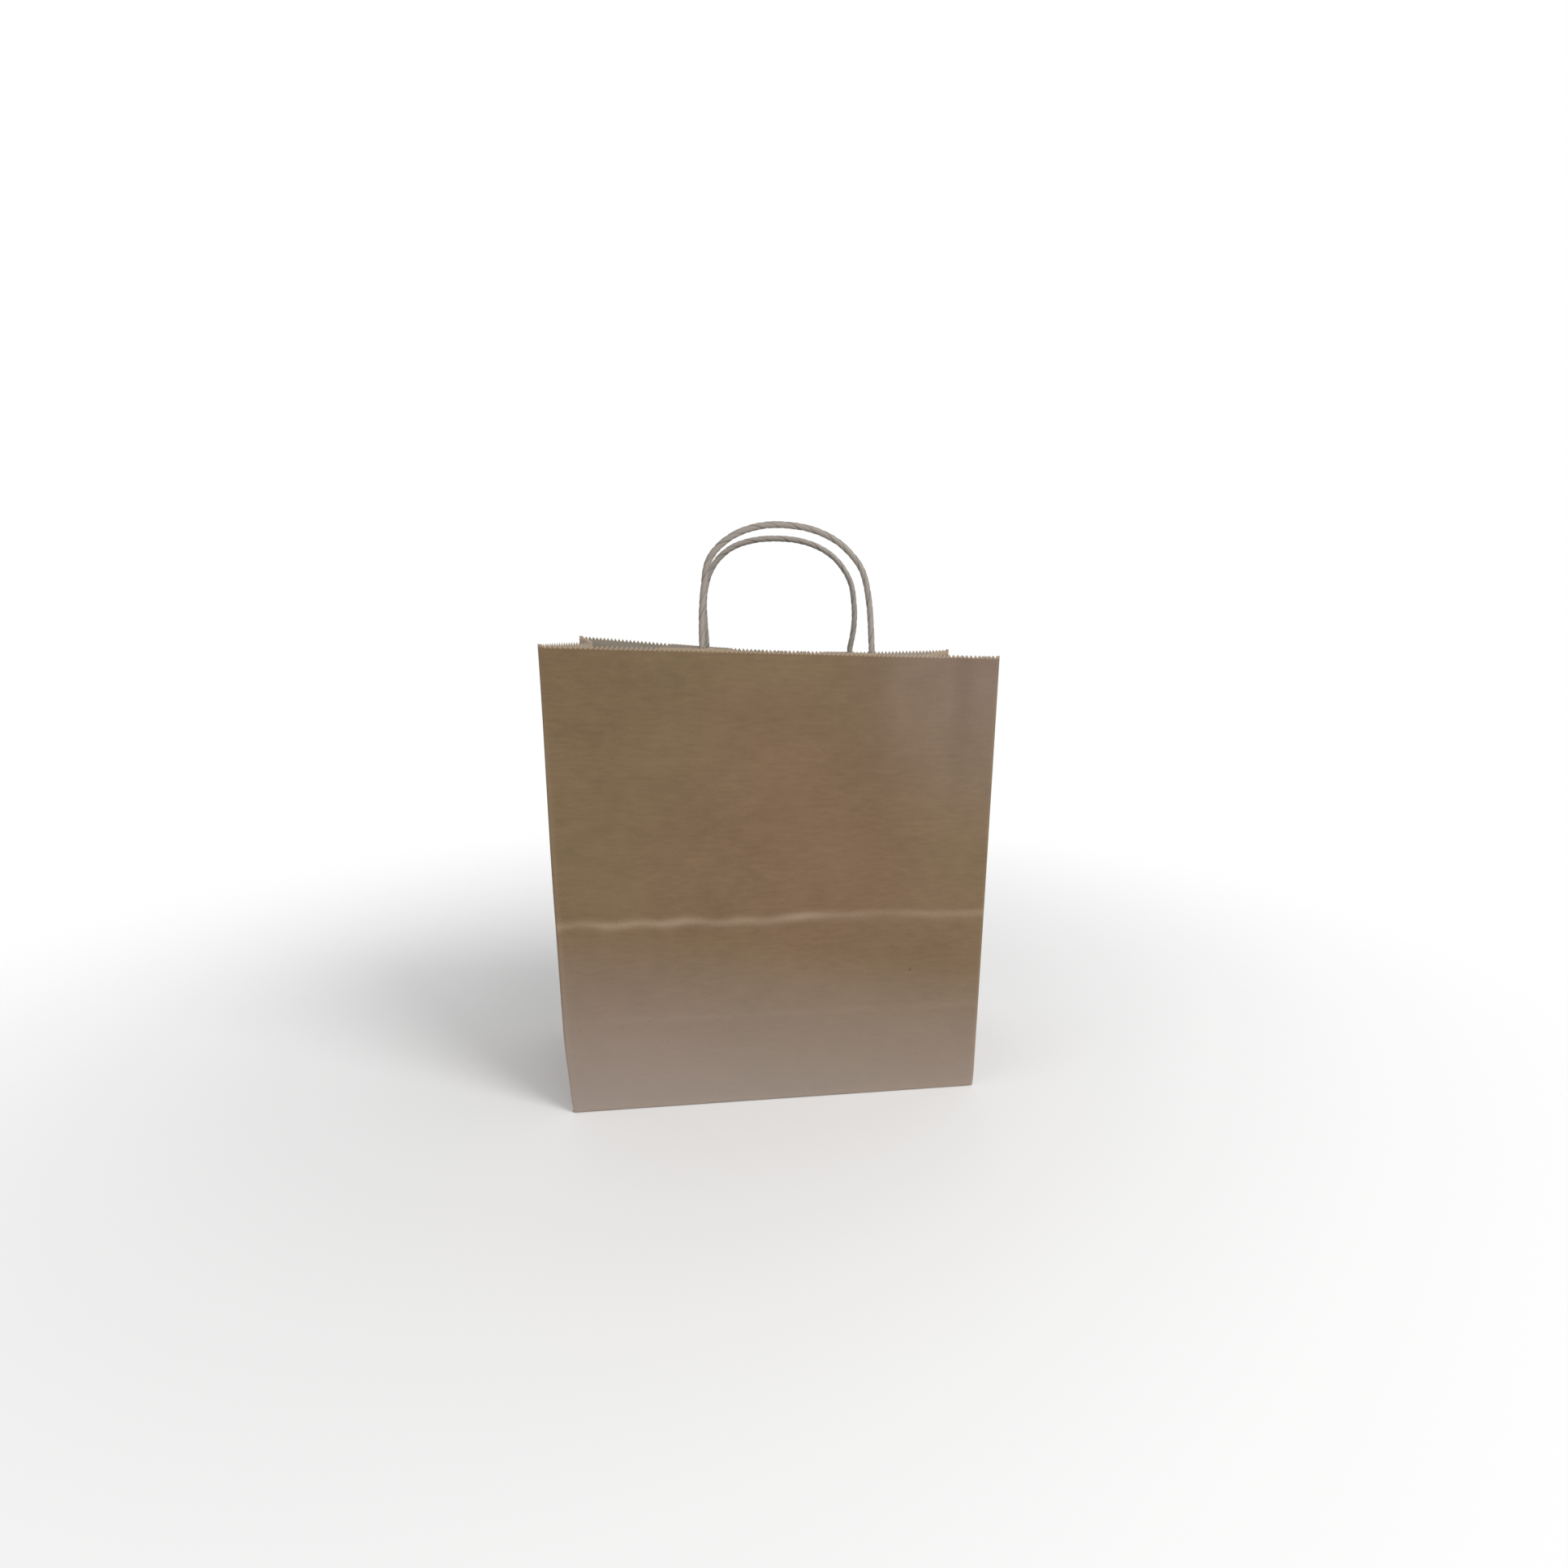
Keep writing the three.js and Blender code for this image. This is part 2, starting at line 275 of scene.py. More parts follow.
def wall_rows():
    coarse = [(2, 60, 5.5), (60, 73, 1.3), (73, 122, 5.5), (122, 148, 1.0), (148, HEIGHT - 6, 5.5)]
    rows = [np.arange(low, high, step) for low, high, step in coarse]
    return np.concatenate(rows + [[HEIGHT - 4.5, HEIGHT - TOOTH_DEPTH - 0.4, HEIGHT]])


ROWS = wall_rows()
COLUMNS = np.arange(-HALF_WIDTH + 2.8, HALF_WIDTH - 2.7, TOOTH_PITCH / 2)
print(len(ROWS), "rows and", len(COLUMNS), "columns on a wall")

# %% [markdown]
# ## The edges that panels share
# Each fold is shared by two panels, so its line is worked out once. The front
# wall's left fold swells out a little above a rounded bottom corner, and the
# back wall's folds run straight from the base to its leaning top corners.

# %% Shared folds
def back_edge(s):
    across = np.asarray(s, float) / HALF_WIDTH
    share = (across + 1) / 2
    x = BACK_LEFT[0] + (BACK_RIGHT[0] - BACK_LEFT[0]) * share
    y = BACK_LEFT[1] + (BACK_RIGHT[1] - BACK_LEFT[1]) * share - BACK_BOW * (1 - across**2)
    z = np.sqrt(HEIGHT**2 - (HALF_DEPTH - y) ** 2 - (s - x) ** 2)
    return np.stack([x, y, z], axis=-1)


def front_fold(side, h):
    h = np.asarray(h, float)
    if side < 0:
        swell = 2.1 * smooth(h, 2, 62) - 1.6 * smooth(h, 150, HEIGHT) - 0.9 * (1 - smooth(h, 0, 12))
    else:
        swell = 0.3 * smooth(h, 0, 200) - 0.4 * (1 - smooth(h, 0, 10))
    return np.stack([side * (HALF_WIDTH + swell), np.full_like(h, -HALF_DEPTH), h], axis=-1)


def back_fold(side, h):
    share = (np.asarray(h, float) / HEIGHT)[..., None]
    foot = np.array([side * HALF_WIDTH, HALF_DEPTH, 0.0])
    return foot * (1 - share) + back_edge(side * HALF_WIDTH) * share


def gusset_foot_tip(side):
    lift = math.sqrt(HALF_DEPTH**2 - FOOT_LEAN**2)
    return np.array([side * (HALF_WIDTH - FOOT_LEAN), 0.0, lift])


def gusset_top(side):
    corner = back_edge(side * HALF_WIDTH)
    front = np.array([side * HALF_WIDTH, -HALF_DEPTH, corner[2]])
    span = corner - front
    inset = math.sqrt(HALF_DEPTH**2 - (np.linalg.norm(span) / 2) ** 2)
    inward = np.array([-side * abs(span[1]), side * span[0], 0])
    top = (front + corner) / 2 + inward / np.linalg.norm(inward) * inset
    foot = gusset_foot_tip(side)
    shift = math.hypot(top[0] - foot[0], top[1] - foot[1])
    top[2] = foot[2] + math.sqrt((HEIGHT - HALF_DEPTH) ** 2 - shift**2)
    return top


def middle_crease(side, share):
    share = np.asarray(share, float)[..., None]
    line = gusset_foot_tip(side) * (1 - share) + gusset_top(side) * share
    line[..., 0] -= side * 2.5 * np.sin(math.pi * share[..., 0])
    return line


print("gusset crease tops:", gusset_top(-1).round(1), gusset_top(1).round(1))

# %% [markdown]
# ## Rounded folds
# A fold in paper is never a knife edge. Each wall runs round the fold for a
# millimetre and a half, along a short curve that starts on the wall and ends
# on the gusset, and the gusset's own piece begins there.

# %% Rounded folds
def gusset_heading(side, fold_line, h):
    share = np.clip((h - HALF_DEPTH) / (HEIGHT - HALF_DEPTH), 0, 1)
    ahead = middle_crease(side, share) - fold_line
    ahead[..., 2] = 0
    return ahead / np.linalg.norm(ahead, axis=-1, keepdims=True)


def round_edge(start, corner, heading, shares):
    """Points on the curve from start, bent by corner, to a fold's radius past it."""
    reach = corner + heading * FOLD_RADIUS
    return [(1 - t) ** 2 * start + 2 * t * (1 - t) * corner + t**2 * reach for t in shares]


def with_folds(body, fold, h):
    left, right = fold(-1, h), fold(1, h)
    shares = (0.25, 0.5, 0.75, 1.0)
    left_curve = round_edge(body[:, 0], left, gusset_heading(-1, left, h), shares)
    right_curve = round_edge(body[:, -1], right, gusset_heading(1, right, h), shares)
    columns = [*left_curve[::-1], *body.transpose(1, 0, 2), *right_curve]
    return np.stack(columns, axis=1)


def pinked(points, plain):
    points[-1, :, 2] -= tooth_drop(points.shape[1], plain)
    return points


# %% [markdown]
# ## Front wall
# The front wall is the bag's face. It stands almost upright and slightly
# bowed. The folded bottom was pressed against it in the pack, which left the
# pale pressed line across it, and a fainter line at half that height.

# %% Front wall
def wall_rub(s, h, pressed, folded):
    side_rub = bump(np.abs(s), HALF_WIDTH, 1.6) * 0.12
    bottom_rub = bump(h, 0, 2.0) * 0.25
    patchy = 0.75 + 0.25 * np.sin(s / 9.0) * np.sin(s / 23.0 + 1)
    lines = pressed * bump(h - press_height(s), 0, 2.9) * patchy * (1 - 0.45 * smooth(s, 10, 60))
    lines = lines + folded * bump(h - FOLD_LINE, 0, 2.2) * patchy
    return np.clip(side_rub + bottom_rub + lines, 0, 1)


def front_waves(s, h):
    return slow_waves(s, h, seed=4) * free_of_folds(s, h) + front_dents(s, h)


def front_surface():
    s, h = np.meshgrid(COLUMNS, ROWS)
    left, right = front_fold(-1, h)[..., 0], front_fold(1, h)[..., 0]
    x = (left + right) / 2 + s / HALF_WIDTH * (right - left) / 2
    y = -HALF_DEPTH + front_waves(s, h)
    y = y - 0.34 * ridge_profile(h - press_height(s), 2.1)
    y = y - 0.03 * ridge_profile(h - FOLD_LINE, 1.7)
    body = np.stack([x, y, h], axis=-1)
    return with_folds(body, front_fold, ROWS)


def bottom_turn(points, heading, shares):
    """Adds the rows that carry a panel round the base's edge."""
    corner = points[0] * (1, 1, 0)
    return np.concatenate([round_edge(points[0], corner, np.array(heading), shares), points])


def wall_wear_and_lit_teeth(points, pressed, folded):
    wear_and_painted_light = wall_rub(points[..., 0], points[..., 2], pressed, folded)
    # Painted highlight: the top row, the teeth's cut tips, is painted pale where light catches it.
    wear_and_painted_light[-1] = 0.95
    return wear_and_painted_light


WALL_TURN = (1.0, 0.75, 0.5, 0.25)
front_points = bottom_turn(pinked(front_surface(), 4), (0, 1, 0), WALL_TURN)
front_sheet = paper_sheet("front_sheet", front_points, (0, 1, 0), wall_wear_and_lit_teeth(front_points, 0.42, 0.06))
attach(front_sheet, "front_wall")
stands_for(front_sheet, "kraft_sheet", "front_panel")

# %% [markdown]
# ## Back wall
# The back wall leans in, and its middle bows towards the front, so its mouth
# edge is a shallow curve. Straight lines run from the base up to that curve.
# Its real fold is at half the depth, where the bottom folded up behind it.

# %% Back wall
def back_place(s, h, inside=0.0):
    s, h = np.broadcast_arrays(np.asarray(s, float), np.asarray(h, float))
    foot = np.stack([s, np.full_like(s, HALF_DEPTH), np.zeros_like(s)], axis=-1)
    edge = back_edge(s)
    share = (h / HEIGHT)[..., None]
    step = 1.0
    along = back_edge(s + step) * share - back_edge(s - step) * share
    along[..., 0] += 2 * step * (1 - share[..., 0])
    inward = np.cross(along, edge - foot)
    inward = inward / np.linalg.norm(inward, axis=-1, keepdims=True)
    return foot * (1 - share) + edge * share + inward * np.asarray(inside)[..., None]


def back_waves(s, h):
    return slow_waves(s, h, seed=9) * free_of_folds(s, h)


def back_relief(s, h):
    ridges = 0.5 * ridge_profile(h - FOLD_LINE, 1.9) + 0.2 * ridge_profile(h - PRESS_LINE, 1.9)
    return back_waves(s, h) - ridges


def back_surface():
    s, h = np.meshgrid(COLUMNS, ROWS)
    return with_folds(back_place(s, h, back_relief(s, h)), back_fold, ROWS)


back_points = bottom_turn(pinked(back_surface(), 4), (0, -1, 0), WALL_TURN)
back_sheet = paper_sheet("back_sheet", back_points, (0, -1, 0), wall_wear_and_lit_teeth(back_points, 0.12, 0.46))
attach(back_sheet, "back_wall")
stands_for(back_sheet, "kraft_sheet", "back_panel")

# %% [markdown]
# ## Back seam
# The sheet becomes a tube where its two edges lap and are glued. Seen from
# inside, the lap is a long narrow strip down the back wall.

# %% Back seam
SEAM_FROM, SEAM_WIDTH, SEAM_GLUE = 100.0, 20.0, 0.04


def seam_points():
    s, h = np.meshgrid(np.linspace(SEAM_FROM, SEAM_FROM + SEAM_WIDTH, 9), ROWS)
    below_teeth = np.minimum(h, HEIGHT - TOOTH_DEPTH)
    return back_place(s, below_teeth, back_relief(s, h) + PAPER + SEAM_GLUE)


seam_grid = seam_points()
seam = paper_sheet("back_seam", seam_grid, (0, -1, 0), 0.6 * bump(seam_grid[..., 0], SEAM_FROM, 1.2))
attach(seam, "back_wall")
stands_for(seam, "kraft_sheet", "back_seam_lap")

# %% [markdown]
# ## Gussets
# Each side is folded in along a middle crease, so it is two tall panels over a triangle that stands on the
# base. A panel hangs between its wall's fold and the middle crease, and it is slightly cupped. When the
# mouth closes, its top turns in and its foot turns less. Each panel's blend from its wall's body to its
# own, starting below the floor and ending above the mouth, is given by a pair of heights in metres; these
# four pairs are the ones that keep the two panels of a side within two millimetres of each other along
# their shared crease when the mouth is as closed as it goes. The script reads the pairs but sets up no
# blend. A narrow lap on the front panel runs on behind the rear one, so that the crease stays shut to the
# eye.

# %% Gussets
GUSSET_COLUMNS = 45
GUSSET_SHARES = np.append(np.linspace(0, 0.99, 116), 1.0)
HOLLOW = {"front": 1.6, "rear": -1.2}
LAP_GAP = 0.5
LAP_STEPS = (0.5, 1.2, 1.9)
PAST_CREASE = 1.1
BLEND_HEIGHTS = {
    "left_gusset_front": (-0.238, 0.39), "left_gusset_rear": (-0.26, 0.377),
    "right_gusset_front": (-0.486, 0.462), "right_gusset_rear": (-1.25, 0.456),
}


def gusset_half(side, end):
    share = GUSSET_SHARES
    across = np.linspace(FOLD_RADIUS / HALF_DEPTH, 1, GUSSET_COLUMNS)
    fold = front_fold if end == "front" else back_fold
    edge = fold(side, share * HEIGHT)
    crease = middle_crease(side, share)
    points = edge[:, None] * (1 - across)[None, :, None] + crease[:, None] * across[None, :, None]
    arch = np.sin(math.pi * across)[None]
    points[..., 0] += side * HOLLOW[end] * arch * smooth(share, 0, 0.5)[:, None]
    waves = slow_waves(points[..., 1], points[..., 2], seed=17 + side, size=0.7)
    points[..., 0] += waves * (arch * smooth(share, 0, 0.2)[:, None])
    return pinked(points, 1), across


def crease_lap(points, rear):
    """Adds columns that carry the front half a little way behind the rear half."""
    onward = rear[:, -4] - rear[:, -1]
    onward[-1] = onward[-2]
    onward = onward / np.linalg.norm(onward, axis=-1, keepdims=True)
    inward = np.sign(-points[0, 0, 0]) * np.array([1.0, 0, 0])
    inward = inward - onward * (onward @ inward)[:, None]
    inward = inward / np.linalg.norm(inward, axis=-1, keepdims=True)
    laps = [points[:, -1] + onward * along + inward * LAP_GAP for along in LAP_STEPS]
    return np.concatenate([points, np.stack(laps, axis=1)], axis=1)


def gusset_rub(points, across):
    crease = 0.55 * bump(across, 1, 0.03)[None] + 0.12 * bump(across, across[0], 0.02)[None]
    foot = 0.5 * bump(GUSSET_SHARES, 0, 0.008)[:, None]
    # Painted highlight: the cut mouth edge is painted pale where light catches it.
    mouth = 0.9 * smooth(GUSSET_SHARES, 0.985, 0.995)[:, None]
    pressed = 0.22 * bump(points[..., 2], PRESS_LINE, 3.4)
    return np.clip(crease + foot + mouth + pressed, 0, 1)


for side, word in ((-1, "left"), (1, "right")):
    for end, wall_body in (("front", "front_wall"), ("rear", "back_wall")):
        grid, across = gusset_half(side, end)
        if end == "front":
            grid = crease_lap(grid, gusset_half(side, "rear")[0])
            across = np.append(across, np.full(len(LAP_STEPS), PAST_CREASE))
        name = f"{word}_gusset_{end}"
        half = paper_sheet(name + "_sheet", grid, (-side, 0, 0), gusset_rub(grid, across), anchor=0)
        stands_for(half, "kraft_sheet", name)
        low, high = BLEND_HEIGHTS[name]
        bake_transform(half)

# %% [markdown]
# ## Gusset feet
# The triangle under each gusset leans in a little. Its rows get narrower
# towards the tip, its sides follow the gusset's 45 degree creases, and the
# lowest rows turn round the base's edge.

# %% Gusset feet
FOOT_SLIT = 0.3
FOOT_BULGE = 0.5
FOOT_SHARES = np.linspace(0.012, 0.985, 26)


def foot_points(side):
    tip = gusset_foot_tip(side)
    across = np.linspace(-1, 1, 31)
    front_x, rear_x = front_fold(side, 0)[0], side * HALF_WIDTH
    low_x = front_x + (rear_x - front_x) * (across + 1) / 2
    rows = []
    for share in FOOT_SHARES:
        y = (HALF_DEPTH - FOOT_SLIT) * (1 - share) * across
        bulge = side * FOOT_BULGE * math.sin(math.pi * share) * (1 - across**2)
        x = low_x + (tip[0] - low_x) * share + bulge
        rows.append(np.stack([x, y, np.full_like(y, tip[2] * share)], axis=-1))
    return bottom_turn(np.stack(rows), (-side, 0, 0), (1.0, 0.7, 0.35))


def foot_rub(points):
    rows, cols = points.shape[:2]
    sides = bump(np.arange(cols), 0, 1.1) + bump(np.arange(cols), cols - 1, 1.1)
    low = bump(np.arange(rows), 1, 1.6)
    return np.clip(0.7 * sides[None] + 0.6 * low[:, None], 0, 1)


for side, word in ((-1, "left"), (1, "right")):
    grid = foot_points(side)
    foot = paper_sheet(f"{word}_foot_sheet", grid, (-side, 0, 0), foot_rub(grid))
    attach(foot, f"{word}_gusset_foot")
    stands_for(foot, "kraft_sheet", f"{word}_gusset_foot")

# %% [markdown]
# ## Block bottom
# The bottom is folded from the same sheet: a tuck comes in from each end, and
# then the front and rear flaps lap over them along the middle and are glued.
# The rear flap lies lowest. The front flap steps up where it passes over it,
# and all edges are slightly lifted, as glued paper is.

# %% Block bottom
FLAP_OVERLAP, FLAP_TAPER, TUCK_REACH = 26.0, 40.0, 65.0
FLAP_INSET, TUCK_INSET = 0.3, 1.8


def flap_points(sign, low, step):
    v = np.linspace(0, 1, 40)
    u = np.linspace(-1, 1, 61)
    y = sign * ((HALF_DEPTH - FOLD_RADIUS) * (1 - v) - FLAP_OVERLAP / 2 * v)
    free = np.clip((FLAP_TAPER - sign * y) / (FLAP_TAPER + FLAP_OVERLAP / 2), 0, 1)
    half = HALF_WIDTH - FLAP_INSET - (TUCK_REACH / 2) * free
    points = np.zeros((len(v), len(u), 3))
    points[..., 0] = u[None] * half[:, None]
    points[..., 1] = y[:, None]
    over = smooth(-sign * points[..., 1], -FLAP_OVERLAP / 2 - 4, -FLAP_OVERLAP / 2 + 1)
    points[..., 2] = low + step * over + 0.05 * np.sin(points[..., 0] / 13) * np.sin(points[..., 1] / 9)
    return points


def flap_rub(points):
    rows, cols = points.shape[:2]
    edges = bump(np.arange(cols), 0, 1.3) + bump(np.arange(cols), cols - 1, 1.3)
    free = bump(np.arange(rows), rows - 1, 1.0) + bump(np.arange(rows), 0, 1.0)
    return np.clip(0.5 * edges[None] + 0.6 * free[:, None], 0, 1)


def tuck_points(side):
    u = np.linspace(0, 1, 34)
    v = np.linspace(-1, 1, 41)
    x = side * (HALF_WIDTH - FOLD_RADIUS - (TUCK_REACH - FOLD_RADIUS) * u)
    half = (HALF_DEPTH - TUCK_INSET) * (1 - u) + FLAP_OVERLAP / 2 * u
    points = np.zeros((len(u), len(v), 3))
    points[..., 0] = x[:, None]
    points[..., 1] = v[None] * half[:, None]
    points[..., 2] = 0.12 + 0.75 * smooth(u, 0.02, 0.25)[:, None]
    return points


for word, sign, low, step in (("rear", 1, 0.06, 0.0), ("front", -1, 0.08, 0.34)):
    grid = flap_points(sign, low, step)
    flap = paper_sheet(f"base_{word}_sheet", grid, (0, 0, 1), flap_rub(grid))
    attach(flap, "bottom")
    stands_for(flap, "kraft_sheet", f"base_{word}_flap")

for word, side in (("left", -1), ("right", 1)):
    grid = tuck_points(side)
    tuck = paper_sheet(f"base_{word}_tuck_sheet", grid, (0, 0, 1), flap_rub(grid))
    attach(tuck, "bottom")
    stands_for(tuck, "kraft_sheet", f"base_{word}_tuck")

# %% [markdown]
# ## Handle strips
# Each handle is glued between two paper strips, and the pair is glued inside
# the wall. Its top edge comes up just under the tips of the teeth, and sags
# below them between the cord's feet and at its ends. The outer strip lies flat
# on the wall. The inner strip is pressed over the cord's two tails, so it
# stands up in a smooth ridge over each.

# %% Handle strips
STRIP_CENTRE, HANDLE_SPACING = 5.0, 103.0
STRIP_WIDTH, STRIP_HEIGHT, STRIP_DROP, STRIP_SAG = 170.0, 45.0, 0.3, 3.2
CORD_RADIUS = 1.9
TAIL_LENGTH = 40.0
LAYER = PAPER + 0.05
FRONT_FEET = (-46.5, 56.5)
BACK_FEET = (-45.0, 58.0)
CORD_DEPTH = 2.9
RIDGE = 2 * CORD_RADIUS + 0.15


def front_inside(s, h, inside):
    y = -HALF_DEPTH + front_waves(s, h) + inside
    return np.stack(np.broadcast_arrays(s, y, h), axis=-1).astype(float)


def back_inside(s, h, inside):
    return back_place(s, h, back_waves(s, h) + inside)


def cord_ridge(s, h, feet):
    stand = 0
    for foot in feet:
        stand = stand + RIDGE * np.exp(-((np.abs(s - foot) / 2.8) ** 2.6))
    tail_end = HEIGHT - TAIL_LENGTH
    return stand * smooth(h, tail_end - 3.5, tail_end + 0.5)


def strip_top(s):
    """The strip's top edge, which sags between the feet and at its ends."""
    sag = smooth(s, -30, -18) * smooth(-s, -42, -28) + smooth(s, 60, 72) + smooth(-s, 70, 78)
    return HEIGHT - STRIP_DROP - STRIP_SAG * sag


def strip_grid(place, feet, depth):
    left, right = STRIP_CENTRE - STRIP_WIDTH / 2, STRIP_CENTRE + STRIP_WIDTH / 2
    near_feet = np.concatenate([foot + np.linspace(-7, 7, 25) for foot in feet])
    columns = np.unique(np.concatenate([np.linspace(left, right, 60), near_feet]).round(3))
    low = HEIGHT - STRIP_DROP - STRIP_HEIGHT
    rows = np.concatenate([np.linspace(0, 8, 12), np.linspace(10, STRIP_HEIGHT - 1.6, 14), [STRIP_HEIGHT]])
    s, h = np.meshgrid(columns, rows / STRIP_HEIGHT)
    h = low + (strip_top(s) - low) * h
    return place(s, h, depth(s, h)), s, h


def strip_rub(s, h, feet):
    edge = bump(h, strip_top(s), 1.0) + bump(h, HEIGHT - STRIP_DROP - STRIP_HEIGHT, 1.0)
    ends = bump(np.abs(s - STRIP_CENTRE), STRIP_WIDTH / 2, 1.0)
    return np.clip(0.7 * edge + 0.6 * ends + 0.35 * cord_ridge(s, h, feet) / RIDGE, 0, 1)


for word, place, feet, inward in (
    ("front", front_inside, FRONT_FEET, (0, 1, 0)),
    ("back", back_inside, BACK_FEET, (0, -1, 0)),
):
    grid, s, h = strip_grid(place, feet, lambda s, h: LAYER + 0 * s)
    outer = paper_sheet(f"{word}_outer_strip_sheet", grid, inward, strip_rub(s, h, feet) * 0.5)
    grid, s, h = strip_grid(place, feet, lambda s, h: 2 * LAYER + cord_ridge(s, h, feet))
    inner = paper_sheet(f"{word}_inner_strip_sheet", grid, inward, strip_rub(s, h, feet))
    for piece, node in ((outer, f"{word}_outer_strip"), (inner, f"{word}_inner_strip")):
        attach(piece, f"{word}_wall")
        stands_for(piece, "handle_strip", node)

# %% [markdown]
# ## Twisted cord handles
# A handle is one paper cord: a strip of kraft twisted hard until it is round,
# which leaves a spiral groove and finer spiral pleats. It is stiff enough to
# stand up, and glued at both ends, so it is a shaped part and not a free cord.
# A ring of points is carried along the route, and its radius dips where the
# spiral passes. The two feet of the route follow the frame's own loop.

# %% Cord routes
FRONT_LOOP = [
    (-51.5, 3), (-51.2, 20), (-49.6, 36), (-47, 49.5), (-39, 60), (-26, 68), (-9, 72),
    (11, 71), (27, 65.5), (38.5, 56.5), (45.5, 46), (49.5, 28), (51.5, 3),
]
BACK_LOOP = [
    (-51.5, 3), (-52.5, 29), (-49.6, 45), (-43, 57), (-32, 66), (-18, 71), (-2, 73),
    (15, 72.3), (30, 68), (42, 60), (51, 47), (54, 31), (54, 17), (51.5, 3),
]


def catmull_rom(points, per_span):
    points = np.asarray(points, float)
    first, last = 2 * points[0] - points[1], 2 * points[-1] - points[-2]
    padded = np.vstack([first, points, last])
    line = []
    for i in range(1, len(padded) - 2):
        p0, p1, p2, p3 = padded[i - 1:i + 3]
        for t in np.linspace(0, 1, per_span, endpoint=False):
            line.append(0.5 * (2 * p1 + (p2 - p0) * t + (2 * p0 - 5 * p1 + 4 * p2 - p3) * t**2
                               + (3 * p1 - p0 - 3 * p2 + p3) * t**3))
    return np.array(line + [padded[-2]])


def even_steps(line, step):
    lengths = np.concatenate([[0], np.cumsum(np.linalg.norm(np.diff(line, axis=0), axis=1))])
    count = int(lengths[-1] / step)
    wanted = np.linspace(0, lengths[-1], count + 1)
    return np.stack([np.interp(wanted, lengths, line[:, k]) for k in range(3)], axis=-1), wanted


def cord_route(inside, feet, loop):
    heights = np.linspace(HEIGHT - TAIL_LENGTH, HEIGHT, 5)
    left_tail = [inside(np.float64(feet[0]), h, CORD_DEPTH) for h in heights]
    right_tail = [inside(np.float64(feet[1]), h, CORD_DEPTH) for h in heights]
    start, end = left_tail[-1], right_tail[-1]
    arch = []
    for across, rise in loop:
        share = across / HANDLE_SPACING + 0.5
        arch.append(start * (1 - share) + end * share + np.array([0, 0, rise]))
    return catmull_rom([*left_tail, *arch, *right_tail[::-1]], 14)


# %% [markdown]
# The spiral groove is cut into the ring's radius, not painted on, so the cord has a real twisted outline
# against the light.

# %% Twisted cord mesh
TWIST_PITCH = 22.0
RING = 26


def spiral_radius(turn, length):
    phase = turn - 2 * math.pi * length / TWIST_PITCH
    main = 0.30 * bump((phase % (2 * math.pi)) - math.pi, 0, 0.36)
    second = 0.20 * bump(((phase + 2.8) % (2 * math.pi)) - math.pi, 0, 0.3)
    pleats = 0.05 * np.cos(5 * phase) + 0.03 * np.cos(9 * phase + 0.6)
    return CORD_RADIUS * (1 + 0.01 * np.sin(length / 17)) - main - second + pleats


def twisted_cord(name, line):
    centres, lengths = even_steps(line, 0.75)
    tangents = np.gradient(centres, axis=0)
    tangents /= np.linalg.norm(tangents, axis=1, keepdims=True)
    side = np.cross(tangents[0], (0, 1, 0))
    points, groove_shades, places = [], [], []
    turns = np.linspace(0, 2 * math.pi, RING, endpoint=False)
    for centre, tangent, length in zip(centres, tangents, lengths):
        side = side - tangent * np.dot(side, tangent)
        side = side / np.linalg.norm(side)
        other = np.cross(tangent, side)
        radius = spiral_radius(turns, length)
        outward = np.cos(turns)[:, None] * side + np.sin(turns)[:, None] * other
        points.append(centre + radius[:, None] * outward)
        # Painted shade: the deeper the spiral groove dips, the darker its colour is painted.
        groove_shades.append(0.65 * np.clip((CORD_RADIUS - radius) / 0.3, 0, 1))
        unwound = (turns - 2 * math.pi * length / TWIST_PITCH) * CORD_RADIUS
        places.append(np.stack([np.full(RING, length), unwound, 0 * turns], axis=-1))
    count = len(centres)
    vertices = np.concatenate([*points, [centres[0], centres[-1]]])
    groove = np.concatenate([*groove_shades, [0.5, 0.5]])
    flat = np.concatenate([*places, np.zeros((2, 3))])
    faces = []
    for i in range(count - 1):
        for k in range(RING):
            nxt = (k + 1) % RING
            faces.append((i * RING + k, (i + 1) * RING + k, (i + 1) * RING + nxt, i * RING + nxt))
    first, last = count * RING, count * RING + 1
    for k in range(RING):
        nxt = (k + 1) % RING
        faces.append((first, k, nxt))
        faces.append((last, (count - 1) * RING + nxt, (count - 1) * RING + k))
    cord = new_object(name, vertices, faces, groove, flat)
    print(f"{name}: {lengths[-1]:.0f} mm long, {len(faces)} faces")
    return cord


for word, inside, feet, loop in (
    ("front", front_inside, FRONT_FEET, FRONT_LOOP),
    ("back", back_inside, BACK_FEET, BACK_LOOP),
):
    handle = twisted_cord(f"{word}_handle_cord", cord_route(inside, feet, loop))
    nodes = [f"{word}_handle_{part}" for part in ("loop", "tail_left", "tail_right")]
    stands_for(handle, "handle_cord", *nodes)
    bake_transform(handle)

# %% [markdown]
# ## Kraft paper finish
# Kraft paper is brown unbleached pulp. Up close it has fine lighter and darker
# fibres lying mostly along the roll, which here runs round the bag, so they
# are noise stretched along the horizontal. Larger soft clouds come from uneven
# pulp, and a few dark flecks are bits of bark. The group works out those
# varying colours and the small relief, so that the sheet, the strips and the
# cords can share it.

# %% Node helpers
def new_group(name, inputs, outputs):
    group = bpy.data.node_groups.new(name, "ShaderNodeTree")
    for label, kind, value in inputs:
        socket = group.interface.new_socket(label, in_out="INPUT", socket_type=kind)
        if value is not None:
            socket.default_value = value
    for label, kind in outputs:
        group.interface.new_socket(label, in_out="OUTPUT", socket_type=kind)
    entry = group.nodes.new("NodeGroupInput")
    leave = group.nodes.new("NodeGroupOutput")
    return group, entry, leave


def add(tree, kind, **settings):
    node = tree.nodes.new(kind)
    for key, value in settings.items():
        setattr(node, key, value)
    return node


